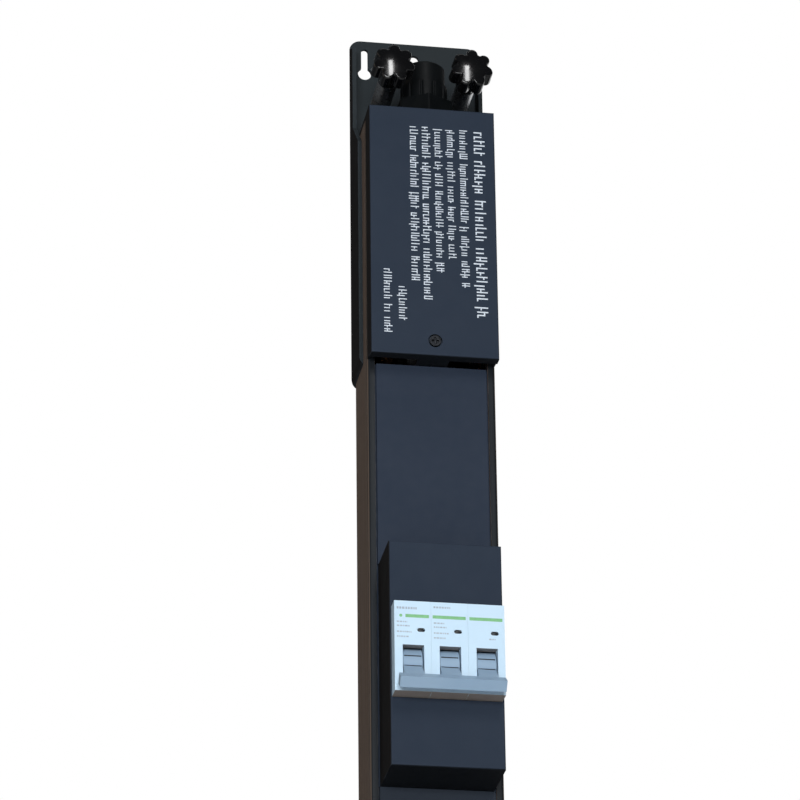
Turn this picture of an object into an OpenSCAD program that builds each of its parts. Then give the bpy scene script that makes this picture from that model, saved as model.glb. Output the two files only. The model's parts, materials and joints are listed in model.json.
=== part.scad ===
// Vertical rack power strip: an aluminium channel with a terminal box at its
// top end, a three-pole breaker below it and fifteen sockets down its length.
// The strip hangs from its top fixing screws, which are at the origin:
// Z is up along the strip, the front faces -Y and the rack is on the +Y side.

/* [Channel] */
// Width of the aluminium channel
body_w = 64; // [63:0.5:70]
// Depth of the channel, from back to front
body_d = 38; // [36:0.5:44]
// Wall thickness of the channel
wall = 1.8; // [1.6:0.1:2.2]
// Width of each front lip
lip_w = 3.7; // [3.5:0.1:4.5]

/* [Length] */
// Height of the top ear above the fixing screws
ear_h = 44; // [42:1:60]
// Drop from the fixing screws to the terminal box
box_drop = 21; // [21:1:30]
// Length of the terminal box
box_len = 138; // [130:1:150]
// Length of the plain panel between box and breaker
blank_len = 107; // [60:1:200]
// Length of the breaker housing
house_len = 113; // [104:1:130]
// Distance from one socket to the next
outlet_pitch = 50; // [48:1:60]
// Length of the bottom ear
foot_h = 44; // [36:1:60]

/* [Fixing] */
// Thickness of the folded steel brackets
bracket_t = 2; // [1.5:0.5:3]
// Distance between the two fixing screws
knob_spacing = 40; // [38:1:42]
// Diameter of the fixing screws
stud_d = 6; // [5:1:8]
// Length of fixing screw that stands out behind the bracket
stud_out = 12; // [8:1:20]
// Outer diameter of the star knobs
knob_d = 22; // [20:1:24]
// Lobes on each star knob
knob_lobes = 7; // [5:1:9]

/* [Terminal box] */
// How far the box cover stands in front of the channel
cover_out = 12.5; // [10:0.5:16]
// Thickness of the cover sheet
sheet = 1.2; // [1:0.1:1.5]
// Outer diameter of the cable gland's nut
gland_d = 24; // [22:1:26]
// Bore of the cable gland's seal
cable_d = 17; // [12:1:18]

/* [Breaker] */
// How far the housing stands in front of the channel
house_out = 30; // [28:1:31]
// Outer width of the housing
house_w = 54.4; // [54.4:0.1:56.4]
// Width of one breaker pole
pole_w = 17.5; // [17.4:0.1:17.5]
// Height of the breaker's nose
nose_h = 45; // [44:1:46]
// How far the nose stands in front of the housing
nose_out = 8.3; // [6:0.1:10]
// Angle of the toggles below level when they are off
toggle_off = 38; // [30:1:38]

/* [Sockets] */
// Width of a socket's mouth
mouth_w = 38.6; // [38:0.1:40]
// Height of a socket's mouth
mouth_h = 29.6; // [29:0.1:30]
// Depth of a socket's well
mouth_depth = 22; // [20:0.5:23]
// Width of the block in the middle of a socket
core_w = 30; // [29:0.1:30]
// Height of the block in the middle of a socket
core_h = 21; // [20:0.1:21]

/* [Hidden] */
$fn = 48;

black_steel = [0.09, 0.10, 0.12];
black_alu = [0.12, 0.12, 0.13];
black_plastic = [0.07, 0.08, 0.09];
white_plastic = [0.88, 0.92, 0.96];
grey_plastic = [0.56, 0.62, 0.70];
steel = [0.72, 0.72, 0.74];
brass = [0.80, 0.65, 0.35];
copper = [0.80, 0.48, 0.32];
rubber = [0.10, 0.10, 0.10];

// Fits
slip = 0.2;
run = 0.3;
eps = 0.5;

// Depth planes, back to front
y_back = -bracket_t;
y_floor = y_back - wall;
y_front = y_back - body_d;
y_lip_in = y_front + wall;
y_cover = y_front - cover_out;
y_house = y_front - house_out;
y_nose = y_house - nose_out;
panel_y = y_front + 0.3;

// Heights, top to bottom
z_box = -box_drop;
z_blank = z_box - box_len;
z_house = z_blank - blank_len;
z_outlets = z_house - house_len;
outlet_count = 15;
bank_size = 5;
z_outlets_end = z_outlets - outlet_count * outlet_pitch;
cap_t = 3;
end_plate_t = 2.5;
z_channel_end = z_outlets_end - 1;
z_bottom = z_channel_end - cap_t;

// Channel
inner_w = body_w - 2 * wall;
mouth = body_w - 2 * lip_w;
corner_r = 1.5;
groove_w = 1;
groove_d = 0.7;
slot_gap = 1.7;
rib = 1.2;
rib_out = 2.2;
port_r = 2.9;
port_hole_r = 1.5;
port_x = inner_w / 2 - 2.6;
port_y = y_floor - 2.2;
self_tap = 0.05;
track_x = 17;
track_w = 6;
track_d = 0.6;

// Panels held behind the lips
panel_w = mouth - 1.6;
panel_t = 2.9;
flange_w = inner_w - 0.8;
flange_t = 1.2;
joint_gap = 0.2;

// Brackets
bracket_w = body_w + 2 * bracket_t;
flange_deep = 28;
flange_shallow = 12;
bend_r = 2.2;
ear_r = 6;
keyhole_x = 26;
keyhole_z = 24.8;
keyhole_r = 3.5;
keyhole_slot = 3.6;
keyhole_top = 39.4;
ear_hole_z = 35;
ear_hole_r = 2.5;
foot_slot_w = 7;
foot_slot_len = 14;
foot_slot_x = 16;
top_bracket_end = z_blank + 3;
foot_top = z_bottom + 60;
foot_end = z_bottom - foot_h;
screw_x = 20;
screw_r = 2;
screw_rows = [z_box - 18, top_bracket_end + 14, foot_top - 14, z_bottom + 14];

// Breaker
breaker_z = z_house - house_len / 2;
breaker_back = -9;
shoulder_y = -52;
shoulder_h = 82;
case_wall = 1.5;
pole_step = pole_w + 0.05;
nose_t = 6;
pivot_y = y_nose + 9.3;
pivot_drop = 7.5;
pivot_z = breaker_z - pivot_drop;
pin_r = 1.5;
drum_r = 8.6;
lever_w = 9.2;
lever_t = 4.6;
lever_root = 8.4;
lever_len = 21.4;
gap_left = 0.3;
gap_right = 0.7;
slot_up = 7.95;
slot_down = 11.5;
slot_deep = 8.5;
rail_h = 35;
rail_d = 7.5;
rail_t = 1;
rail_screw_x = 14;
tie_t = 5.2;
tie_h = 5.4;
entry_y = -35;
wire_lug = 32;

// Cable gland
gland_y = -30;
hex_flats = 27;
hex_h = 13;
thread_r = 12.2;
thread_below = 12;
nut_h = 21;
nut_gap = 0.4;
gland_play = 0.1;

// Knobs
knob_x = knob_spacing / 2;
knob_back = -y_front + run;
hub_h = 9.7;
grip_h = 10;
sleeve_r = 5;
knob_insert = 8;
waist_r = 2.7;

// Terminal block
block_w = 55;
block_h = 40;
block_d = 30;
block_z = z_box - 80;
block_back = -9.5;
block_front = block_back - block_d;
block_pitch = block_w / 5;
clamp_back = block_back - 4;
clamp_wire_y = block_front + 14;
clamp_screw_z = 8;
cover_screw_z = z_blank + 8;
earth_x = 18;
earth_z = z_blank - 14;

// Bars
side_bar_x = 28.6;
side_bar_y = -18;
bar_w = 2;
bar_d = 8;
line_bar_x = 11;
line_bar_y = -8;

// Sockets
slot_x = 6.5;
slot_drop = -4.2;
earth_rise = 4.4;
blade_w = 8.6;
blade_gap = 2.6;
well_back = panel_y + mouth_depth;
core_front = panel_y + 0.6;
cup_wall = 1.8;
cup_back = well_back + cup_wall;
tail_y = cup_back + 1.2;

pole_x = [-pole_step, 0, pole_step];
wire_sides = 12;
bend_len = 2.5;
phase_colours = [[0.35, 0.2, 0.12], [0.08, 0.08, 0.08], [0.45, 0.45, 0.47]];

function outlet_z(i) = z_outlets - (i - 0.5) * outlet_pitch;

// ---- Shared shapes ----

module rounded(w, h, r) {
  square([w - 2 * r, h], center = true);
  square([w, h - 2 * r], center = true);
  for (sx = [-1, 1], sy = [-1, 1])
    translate([sx * (w / 2 - r), sy * (h / 2 - r)]) circle(r);
}

// A block between two depths, y0 behind and y1 in front
module slab(w, y0, y1, z0, z1, x = 0)
  translate([x - w / 2, y1, z0]) cube([w, y0 - y1, z1 - z0]);

// Stands a flat outline up to face the front, from y0 to y1
module upright(y0, y1)
  translate([0, y0, 0]) rotate([90, 0, 0]) linear_extrude(y0 - y1) children();

// A round bar or hole along Y, from y0 behind to y1 in front
module bar_y(r, y0, y1, x = 0, z = 0)
  translate([x, y0, z]) rotate([90, 0, 0]) cylinder(r = r, h = y0 - y1);

module countersunk(r, y0, y1) {
  head = 1.9 * r;
  bar_y(r, y0, y1);
  translate([0, y0, 0]) rotate([90, 0, 0]) cylinder(r1 = head, r2 = r, h = head - r);
}

module pan_screw(r, head_r, head_h, len) {
  difference() {
    union() {
      cylinder(r = head_r, h = head_h);
      translate([0, 0, -len]) cylinder(r = r, h = len + eps);
    }
    for (a = [0, 90])
      rotate(a) translate([-head_r * 0.6, -0.45, head_h - 1]) cube([head_r * 1.2, 0.9, 2]);
  }
}

module ring(r_out, r_in, h) {
  difference() {
    cylinder(r = r_out, h = h);
    translate([0, 0, -eps]) cylinder(r = r_in, h = h + 2 * eps);
  }
}

// An insulated wire swept through a list of points, with rounded bends
function bend(p, i, t) = let (a = p[i - 1], b = p[i], c = p[i + 1],
    s = b + (a - b) / norm(a - b) * bend_len, e = b + (c - b) / norm(c - b) * bend_len)
  (1 - t) * (1 - t) * s + 2 * t * (1 - t) * b + t * t * e;
function route(p) = concat([p[0]],
  [for (i = [1:len(p) - 2], t = [0, 0.33, 0.67, 1]) bend(p, i, t)], [p[len(p) - 1]]);
function along(q, i) = let (d = q[min(i + 1, len(q) - 1)] - q[max(i - 1, 0)]) d / norm(d);
function wire_ring(q, i, r) = let (d = along(q, i), u = cross([0, 1, 0], d) / norm(cross([0, 1, 0], d)),
    v = cross(d, u))
  [for (k = [0:wire_sides - 1]) let (a = 360 * k / wire_sides) q[i] + r * (u * cos(a) + v * sin(a))];

module wire(points, r) {
  q = route(points);
  n = len(q);
  s = wire_sides;
  verts = [for (i = [0:n - 1]) each wire_ring(q, i, r)];
  sides = [for (i = [0:n - 2], k = [0:s - 1])
    [i * s + k, i * s + (k + 1) % s, (i + 1) * s + (k + 1) % s, (i + 1) * s + k]];
  ends = [[for (k = [s - 1:-1:0]) k], [for (k = [0:s - 1]) (n - 1) * s + k]];
  polyhedron(verts, concat(sides, ends));
}

// ---- Channel, brackets and ends ----

module channel_section() {
  difference() {
    union() {
      difference() {
        translate([0, y_back - body_d / 2]) rounded(body_w, body_d, corner_r);
        translate([-inner_w / 2, y_lip_in]) square([inner_w, body_d - 2 * wall]);
        translate([-mouth / 2, y_front - eps]) square([mouth, wall + 2 * eps]);
      }
      for (s = [-1, 1]) {
        translate([s * (inner_w / 2 - rib_out / 2 + 0.1), y_lip_in + slot_gap + rib / 2])
          square([rib_out + 0.2, rib], center = true);
        translate([s * port_x, port_y]) circle(port_r);
      }
    }
    for (s = [-1, 1]) {
      translate([s * port_x, port_y]) circle(port_hole_r);
      translate([s * body_w / 2, y_front + 1.6]) square([2 * groove_d, groove_w], center = true);
      translate([s * track_x, y_back]) square([track_w, 2 * track_d], center = true);
    }
  }
}

module channel() {
  color(black_alu) difference() {
    translate([0, 0, z_channel_end])
      linear_extrude(z_box - end_plate_t - z_channel_end) channel_section();
    for (s = [-1, 1], z = screw_rows)
      bar_y(screw_r + self_tap, y_back + eps, y_floor - eps, s * screw_x, z);
    for (s = [-1, 1])
      bar_y(screw_r + self_tap, y_back + eps, y_floor - eps, s * rail_screw_x, breaker_z);
    bar_y(screw_r + self_tap, y_back + eps, y_floor - eps, 0, cover_screw_z);
    bar_y(2.6, y_back + eps, y_floor - eps, earth_x, earth_z);
  }
}

module folded_section() {
  difference() {
    translate([0, -30]) rounded(bracket_w, 60, bend_r);
    translate([-body_w / 2 - 0.02, -61]) square([body_w + 0.04, 61 - bracket_t]);
  }
}

module bracket_blank(z0, z1, side_view) {
  intersection() {
    translate([0, 0, z0]) linear_extrude(z1 - z0) folded_section();
    translate([-bracket_w, 0, 0]) rotate([90, 0, 90]) linear_extrude(2 * bracket_w)
      polygon(side_view);
    translate([0, 0, (z0 + z1) / 2]) upright(eps, -60) rounded(bracket_w, z1 - z0, ear_r);
  }
}

module keyhole(x) {
  bar_y(keyhole_r, eps, -bracket_t - eps, x, keyhole_z);
  slab(keyhole_slot, eps, -bracket_t - eps, keyhole_z, keyhole_top - keyhole_slot / 2, x);
  bar_y(keyhole_slot / 2, eps, -bracket_t - eps, x, keyhole_top - keyhole_slot / 2);
}

module bracket_screw_hole(x, z)
  translate([x, -bracket_t, z]) {
    bar_y(screw_r + 0.1, bracket_t + eps, -eps);
    translate([0, bracket_t + 0.01, 0]) rotate([90, 0, 0])
      cylinder(r1 = screw_r * 1.9 + 0.1, r2 = screw_r + 0.1, h = 0.9 * screw_r);
  }

module top_bracket() {
  side_view = [
    [0, top_bracket_end], [-flange_deep, top_bracket_end], [-flange_deep, z_box - 8],
    [-flange_shallow, z_box + 8], [-flange_shallow, ear_h - ear_r - 4], [-bracket_t, ear_h - ear_r],
    [-bracket_t, ear_h], [0, ear_h]
  ];
  color(black_steel) difference() {
    bracket_blank(top_bracket_end, ear_h, side_view);
    for (s = [-1, 1]) {
      bar_y(stud_d / 2 + run, eps, -bracket_t - eps, s * knob_x);
      keyhole(s * keyhole_x);
      bracket_screw_hole(s * screw_x, screw_rows[0]);
      bracket_screw_hole(s * screw_x, screw_rows[1]);
    }
    bar_y(ear_hole_r, eps, -bracket_t - eps, 0, ear_hole_z);
  }
}

module bottom_bracket() {
  side_view = [
    [0, foot_top], [-flange_deep, foot_top], [-flange_deep, z_bottom + 8],
    [-flange_shallow, z_bottom - 8], [-flange_shallow, foot_end + ear_r + 4],
    [-bracket_t, foot_end + ear_r], [-bracket_t, foot_end], [0, foot_end]
  ];
  slot_z = (z_bottom + foot_end) / 2;
  slot_end = (foot_slot_len - foot_slot_w) / 2;
  color(black_steel) difference() {
    bracket_blank(foot_end, foot_top, side_view);
    for (s = [-1, 1]) {
      for (e = [-1, 1])
        bar_y(foot_slot_w / 2, eps, -bracket_t - eps, s * foot_slot_x + e * slot_end, slot_z);
      slab(2 * slot_end, eps, -bracket_t - eps, slot_z - foot_slot_w / 2, slot_z + foot_slot_w / 2,
        s * foot_slot_x);
      bracket_screw_hole(s * screw_x, screw_rows[2]);
      bracket_screw_hole(s * screw_x, screw_rows[3]);
    }
  }
}

module bracket_screws() {
  color(steel) for (s = [-1, 1], z = screw_rows)
    translate([s * screw_x, 0, z]) difference() {
      countersunk(screw_r, -0.05, -6);
      for (a = [0, 90])
        rotate([0, a, 0]) slab(2.6, eps, -0.9, -0.35, 0.35);
    }
}

module end_outline() translate([0, y_back - body_d / 2]) rounded(body_w, body_d, corner_r);

module end_screw_holes(z0, z1, r)
  for (s = [-1, 1]) translate([s * port_x, port_y, z0]) cylinder(r = r, h = z1 - z0);

module top_end_plate() {
  front_w = body_w - 2 * sheet - slip;
  front_y = y_cover + sheet + 0.1;
  color(black_steel) difference() {
    union() {
      translate([0, 0, z_box - end_plate_t]) linear_extrude(end_plate_t) end_outline();
      slab(front_w, y_back - body_d / 2, front_y, z_box - end_plate_t, z_box);
      slab(front_w - 20, front_y + sheet, front_y, z_box - 12, z_box);
    }
    translate([0, gland_y, z_box - end_plate_t - eps]) cylinder(r = thread_r + 0.1, h = 10);
    end_screw_holes(z_box - 10, z_box + eps, port_hole_r + 0.2);
  }
}

module bottom_end_cap() {
  plug = 8;
  color(black_plastic) difference() {
    union() {
      translate([0, 0, z_bottom]) linear_extrude(cap_t) end_outline();
      translate([0, 0, z_channel_end])
        linear_extrude(plug) difference() {
          translate([-23, y_lip_in + 4]) square([46, 24]);
          translate([-21, y_lip_in + 6]) square([42, 20]);
        }
    }
    end_screw_holes(z_bottom - eps, z_channel_end + eps, port_hole_r + 0.2);
  }
}

module end_screws() {
  color(steel) for (s = [-1, 1]) {
    translate([s * port_x, port_y, z_box]) pan_screw(port_hole_r - 0.05, 2.6, 1.6, 14);
    translate([s * port_x, port_y, z_bottom]) rotate([180, 0, 0])
      pan_screw(port_hole_r - 0.05, 2.6, 1.6, 14);
  }
}

// ---- Terminal box ----

module terminal_cover() {
  lip_deep = 6;
  tab_w = 16;
  dimple = 1.3;
  color(black_steel) difference() {
    union() {
      difference() {
        slab(body_w, y_front, y_cover, z_blank, z_box);
        slab(body_w - 2 * sheet, y_front + eps, y_cover + sheet, z_blank + sheet, z_box + eps);
      }
      bar_y(4.8, y_cover + dimple + 1, y_cover + 0.1, 0, cover_screw_z);
    }
    for (s = [-1, 1])
      slab(body_w, y_front + eps, y_cover + lip_deep, z_blank - eps, z_blank + sheet + eps,
        s * (body_w + tab_w) / 2);
    bar_y(3.5, y_cover + dimple, y_cover - eps, 0, cover_screw_z);
    bar_y(1.7, y_cover + 3, y_cover, 0, cover_screw_z);
  }
}

module cover_screw()
  color(steel) translate([0, y_cover + 1.3, cover_screw_z]) rotate([90, 0, 0])
    pan_screw(1.45, 2.9, 1.5, 7);

module cover_standoff() {
  front = y_cover + 2.3;
  color(steel) difference() {
    union() {
      translate([0, y_floor, cover_screw_z]) rotate([90, 0, 0])
        cylinder(r = 3.2, h = y_floor - front, $fn = 6);
      bar_y(screw_r, y_back, y_floor - eps, 0, cover_screw_z);
    }
    bar_y(1.5, front + 9, front - eps, 0, cover_screw_z);
  }
}

module gland_body() {
  color(black_plastic) translate([0, gland_y, z_box]) difference() {
    union() {
      rotate(30) cylinder(r = hex_flats / 2 / cos(30), h = hex_h, $fn = 6);
      translate([0, 0, -thread_below - end_plate_t]) cylinder(r = thread_r, h = thread_below + 6);
      cylinder(r = 10.4, h = hex_h + 8);
    }
    translate([0, 0, -20]) cylinder(r = cable_d / 2 + 0.3, h = 50);
    translate([0, 0, hex_h - 4]) cylinder(r = 9.6, h = 20);
  }
}

module gland_seal()
  color(rubber) translate([0, gland_y, z_box + hex_h - 4]) ring(9.6, cable_d / 2, 14);

module gland_locknut()
  color(black_plastic) translate([0, gland_y, z_box - end_plate_t - 5]) difference() {
    cylinder(r = 15.6, h = 5, $fn = 6);
    translate([0, 0, -eps]) cylinder(r = thread_r + 0.02, h = 7);
  }

module gland_nut() {
  z0 = z_box + hex_h + nut_gap;
  r = gland_d / 2;
  skirt = 9;
  neck_r = r - 1.2;
  neck_top = 1.2;
  color(black_plastic) translate([0, gland_y, z0]) difference() {
    union() {
      intersection() {
        cylinder(r = r, h = skirt);
        for (a = [0:30:359])
          rotate(a) translate([r - 4.2, -2.4, 0]) cube([6, 4.8, skirt]);
      }
      cylinder(r = r - 0.7, h = skirt);
      cylinder(r = neck_r, h = nut_h - neck_top);
      translate([0, 0, nut_h - neck_top])
        cylinder(r1 = neck_r, r2 = neck_r - neck_top, h = neck_top);
    }
    translate([0, 0, -eps]) cylinder(r = 10.4 + gland_play, h = skirt - 0.8 + eps);
    translate([0, 0, -eps]) cylinder(r = 9.6 + gland_play, h = nut_h - 5);
    translate([0, 0, -eps]) cylinder(r = cable_d / 2 + 0.4, h = nut_h + 1);
  }
}

module terminal_block() {
  color(grey_plastic) difference() {
    union() {
      slab(block_w, block_back, block_front, block_z - block_h / 2, block_z + block_h / 2);
      slab(block_w - 15, y_floor, block_back - eps, block_z - 14, block_z + 14);
    }
    for (i = [-2:2]) {
      slab(block_pitch - 2.4, clamp_back, block_front + 4, block_z - 13, block_z + 13,
        i * block_pitch);
      for (e = [-1, 1]) {
        translate([i * block_pitch, clamp_wire_y, block_z + e * 12])
          cylinder(r = 3.6, h = 20, center = true);
        bar_y(3, block_front + 5, block_front - eps, i * block_pitch, block_z + e * clamp_screw_z);
      }
    }
  }
}

module terminal_clamps() {
  color(brass) for (i = [-2:2]) difference() {
    slab(block_pitch - 2.8, clamp_back, block_front + 4.4, block_z - 12.6, block_z + 12.6,
      i * block_pitch);
    translate([i * block_pitch, clamp_wire_y, block_z]) cylinder(r = 3.4, h = 40, center = true);
    for (e = [-1, 1])
      bar_y(1.8, clamp_wire_y, block_front, i * block_pitch, block_z + e * clamp_screw_z);
  }
}

module terminal_screws() {
  color(steel) for (i = [-2:2], e = [-1, 1])
    translate([i * block_pitch, block_front + 3.6, block_z + e * clamp_screw_z])
      rotate([90, 0, 0]) pan_screw(1.75, 2.7, 2, 6);
}

// The earth stud, its washer and nut, and a link to the earth bar
module earth_hardware() {
  link_y = -10;
  color(brass) {
    translate([earth_x, y_back, earth_z]) rotate([90, 0, 0]) cylinder(r = 2.5, h = 18);
    translate([earth_x, y_floor, earth_z]) rotate([90, 0, 0]) cylinder(r = 5, h = 1);
    translate([earth_x, y_floor - 1, earth_z]) rotate([90, 0, 0])
      cylinder(r = 4.6, h = -link_y + y_floor - 1, $fn = 6);
    slab(side_bar_x - bar_w / 2 - earth_x + 4, link_y, link_y - 1.5, earth_z - 4, earth_z + 4,
      (side_bar_x - bar_w / 2 + earth_x - 4) / 2);
    translate([earth_x, link_y - 1.5, earth_z]) rotate([90, 0, 0])
      cylinder(r = 4.6, h = 4, $fn = 6);
  }
}

// ---- Panels, housing and breaker ----

module panel_strip(z0, z1) {
  slab(panel_w, panel_y + panel_t, panel_y, z0, z1);
  slab(flange_w, y_lip_in + flange_t + 0.1, y_lip_in + 0.1, z0, z1);
}

module blank_panel() {
  color(black_plastic) difference() {
    panel_strip(z_house + joint_gap, z_blank - joint_gap);
    slab(panel_w - 4, panel_y + 6, panel_y + 1.5, z_house, z_blank);
  }
}

module breaker_housing() {
  top = z_house;
  bottom = z_outlets + joint_gap;
  t = 0.8;
  inset = (house_len - nose_h) / 2 - 0.5;
  color(black_steel) difference() {
    union() {
      slab(house_w, y_lip_in + flange_t, y_house, bottom, top);
      slab(flange_w, y_lip_in + flange_t + 0.1, y_lip_in + 0.1, bottom, top);
    }
    slab(house_w - 2 * t, y_front + 10, y_house + t, bottom + t, top - t);
    slab(house_w - 2 * t, y_house + 2 * t, y_house - eps, bottom + inset, top - inset);
  }
}

module din_rail() {
  crest = 27;
  rail_len = inner_w - 12;
  color(steel) difference() {
    translate([-rail_len / 2, 0, breaker_z]) rotate([90, 0, 90]) linear_extrude(rail_len) {
      translate([y_floor - rail_t, -crest / 2]) square([rail_t, crest]);
      for (s = [-1, 1]) {
        translate([y_floor - rail_d / 2, s * (crest / 2 - rail_t / 2)])
          square([rail_d, rail_t], center = true);
        translate([y_floor - rail_d + rail_t / 2, s * (crest / 2 - rail_t + rail_h / 2) / 2])
          square([rail_t, rail_h / 2 - crest / 2 + rail_t], center = true);
      }
    }
    for (s = [-1, 1])
      bar_y(screw_r + self_tap, y_floor + eps, y_floor - 2, s * rail_screw_x, breaker_z);
  }
}

module rail_screws()
  color(steel) for (s = [-1, 1])
    translate([s * rail_screw_x, y_floor - rail_t, breaker_z]) rotate([90, 0, 0])
      pan_screw(screw_r, 3.6, 2, rail_t + wall);

// Outline of a pole seen from its side: depth in X, height in Y
module case_outline(inset) {
  difference() {
    union() {
      translate([shoulder_y + inset, -shoulder_h / 2 + inset])
        square([breaker_back - shoulder_y - 2 * inset, shoulder_h - 2 * inset]);
      translate([y_nose + inset, -nose_h / 2 + inset])
        square([shoulder_y - y_nose + 1, nose_h - 2 * inset]);
    }
    translate([y_floor - rail_d - inset, -rail_h / 2 - 0.4 - inset])
      square([20, rail_h + 0.8 + 2 * inset]);
  }
}

module side_extrude(w, x) translate([x - w / 2, 0, breaker_z]) rotate([90, 0, 90])
  linear_extrude(w) children();

// Side view of the opening that a toggle swings in
module toggle_slot(x) {
  mid = -pivot_drop;
  inside = y_nose + nose_t + eps;
  side_extrude(gap_left + lever_w + gap_right, x + (gap_right - gap_left) / 2)
    polygon([[y_nose - eps, mid + slot_up], [inside, mid + slot_deep], [inside, mid - slot_deep],
      [y_nose - eps, mid - slot_down]]);
}

module breaker_pole(n) {
  x = pole_x[n - 1];
  window_z = breaker_z + nose_h / 2 - 14.4;
  color(white_plastic) difference() {
    union() {
      difference() {
        side_extrude(pole_w, x) case_outline(0);
        side_extrude(pole_w - 2 * case_wall, x) case_outline(case_wall);
      }
      slab(pole_w - 2, y_nose + nose_t, y_nose + 1, pivot_z - slot_down - 2, pivot_z + slot_deep + 2,
        x);
    }
    toggle_slot(x);
    translate([x + 4, 0, window_z]) upright(y_nose + 0.8, y_nose - eps) rounded(3.8, 1.9, 0.9);
    for (e = [-1, 1]) {
      bar_y(3.2, shoulder_y + 4, shoulder_y - eps, x, breaker_z + e * wire_lug);
      slab(9, entry_y + 5, entry_y - 5, breaker_z + e * 41 - 3, breaker_z + e * 41 + 3, x);
    }
    translate([x - pole_w / 2 + 0.4, pivot_y, pivot_z]) rotate([0, 90, 0])
      cylinder(r = pin_r, h = pole_w - 0.8);
  }
}

// Trip coil with its core, arc plates and contact arm of each pole
module breaker_mechanism() {
  plate_w = pole_w - 2 * case_wall;
  for (x = pole_x) {
    color(copper) translate([x, -36, breaker_z - 8]) ring(5.4, 3.6, 14);
    color(steel) translate([x, -36, breaker_z - 11]) cylinder(r = 3.6, h = 20);
    color(steel) for (i = [0:8])
      slab(plate_w, -14, -25, breaker_z - 30 + i * 1.9, breaker_z - 29 + i * 1.9, x);
    color(copper) slab(3, -27.5, -30.7, breaker_z - 27.6, breaker_z + 27.6, x);
  }
}

module breaker_terminals() {
  for (x = pole_x, e = [-1, 1]) {
    mid = breaker_z + e * wire_lug;
    color(brass) difference() {
      slab(9, entry_y + 7, entry_y - 9, mid - 4.4, mid + 4.4, x);
      slab(6, entry_y + 3.5, entry_y - 3.5, mid - 6, mid + 6, x);
    }
    color(steel) translate([x, shoulder_y + 3.4, mid]) rotate([90, 0, 0])
      pan_screw(1.9, 2.9, 2.2, 6);
  }
}

// The toggles lie in their off position, pointing down and forward
module toggle_frame() translate([0, pivot_y, pivot_z]) rotate([toggle_off, 0, 0]) children();

module toggle_levers() {
  tip = lever_t / 2;
  root = lever_root / 2;
  color(grey_plastic) toggle_frame() for (x = pole_x)
    difference() {
      union() {
        translate([x - lever_w / 2, 0, 0]) rotate([0, 90, 0]) cylinder(r = drum_r, h = lever_w);
        translate([x - lever_w / 2, 0, 0]) rotate([90, 0, 90]) linear_extrude(lever_w)
          polygon([[0, -root], [0, root], [-lever_len + 2, tip], [-lever_len, 0.9],
            [-lever_len, -0.9], [-lever_len + 2, -tip]]);
      }
      translate([x - lever_w, 0, 0]) rotate([0, 90, 0]) cylinder(r = pin_r + 0.05, h = 2 * lever_w);
    }
}

module toggle_pivots()
  color(steel) for (x = pole_x) translate([x - pole_w / 2 + 0.5, pivot_y, pivot_z])
    rotate([0, 90, 0]) cylinder(r = pin_r, h = pole_w - 1);

module toggle_tie_bar() {
  bar_len = 3 * pole_step - 2.2;
  reach = lever_len + 1;
  hug = 0.05;
  color(grey_plastic) toggle_frame() difference() {
    translate([-bar_len / 2, -reach, -tie_h / 2]) cube([bar_len, tie_t, tie_h]);
    for (x = pole_x)
      translate([x - lever_w / 2 - hug, -lever_len - hug, -lever_t / 2 - 5 * hug])
        cube([lever_w + 2 * hug, 20, lever_t + 10 * hug]);
  }
}

// ---- Wiring ----

module supply_wires() {
  start_z = block_z - block_h / 2 - 1;
  step_z = start_z - 10;
  back_y = side_bar_y + bar_d / 2;
  bar_face = side_bar_x - bar_w / 2 - 0.12;
  // The phase wires run side by side past the cover's standoff
  for (i = [0:2]) let (pass_x = -6.9 - (2 - i) * 6.6)
    color(phase_colours[i]) wire([
      [(i - 2) * block_pitch, clamp_wire_y, start_z],
      [pass_x, clamp_wire_y, cover_screw_z + 8],
      [pass_x, clamp_wire_y, cover_screw_z - 10],
      [pole_x[i], entry_y + 1, z_house - 4],
      [pole_x[i], entry_y, breaker_z + wire_lug + 5]
    ], 3.2);
  color([0.10, 0.20, 0.50]) wire([
      [block_pitch, clamp_wire_y, start_z],
      [block_pitch, back_y, step_z],
      [-bar_face + 4, back_y, step_z - 0.2],
      [-bar_face, back_y, step_z]
    ], 2.6);
  color([0.20, 0.50, 0.20]) wire([
      [2 * block_pitch, clamp_wire_y, start_z],
      [2 * block_pitch, back_y, step_z],
      [bar_face, back_y, step_z - 0.2]
    ], 2.6);
}

module output_wires() {
  for (i = [0:2])
    color(phase_colours[i]) wire([
      [pole_x[i], entry_y, breaker_z - wire_lug - 5],
      [pole_x[i], entry_y + 1, breaker_z - shoulder_h / 2 - 4],
      [(i - 1) * line_bar_x, -15, z_outlets + 6],
      [(i - 1) * line_bar_x, line_bar_y - 3.7, z_outlets - 4]
    ], 2.6);
}

module side_bar(s) {
  top = block_z - block_h / 2 - 3;
  color(copper) slab(bar_w, side_bar_y + bar_d, side_bar_y, z_outlets_end + 6, top, s * side_bar_x);
}

module neutral_bar() side_bar(-1);

module earth_bar() side_bar(1);

module line_bars() {
  color(copper) for (b = [1:3])
    slab(bar_d, line_bar_y + 1, line_bar_y - 1, outlet_z(b * bank_size) - 12,
      z_outlets - 1, (b - 2) * line_bar_x);
}

// ---- Sockets ----

function slot_at(k) = k == 2 ? [0, earth_rise] : [(2 * k - 1) * slot_x, slot_drop];

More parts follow.
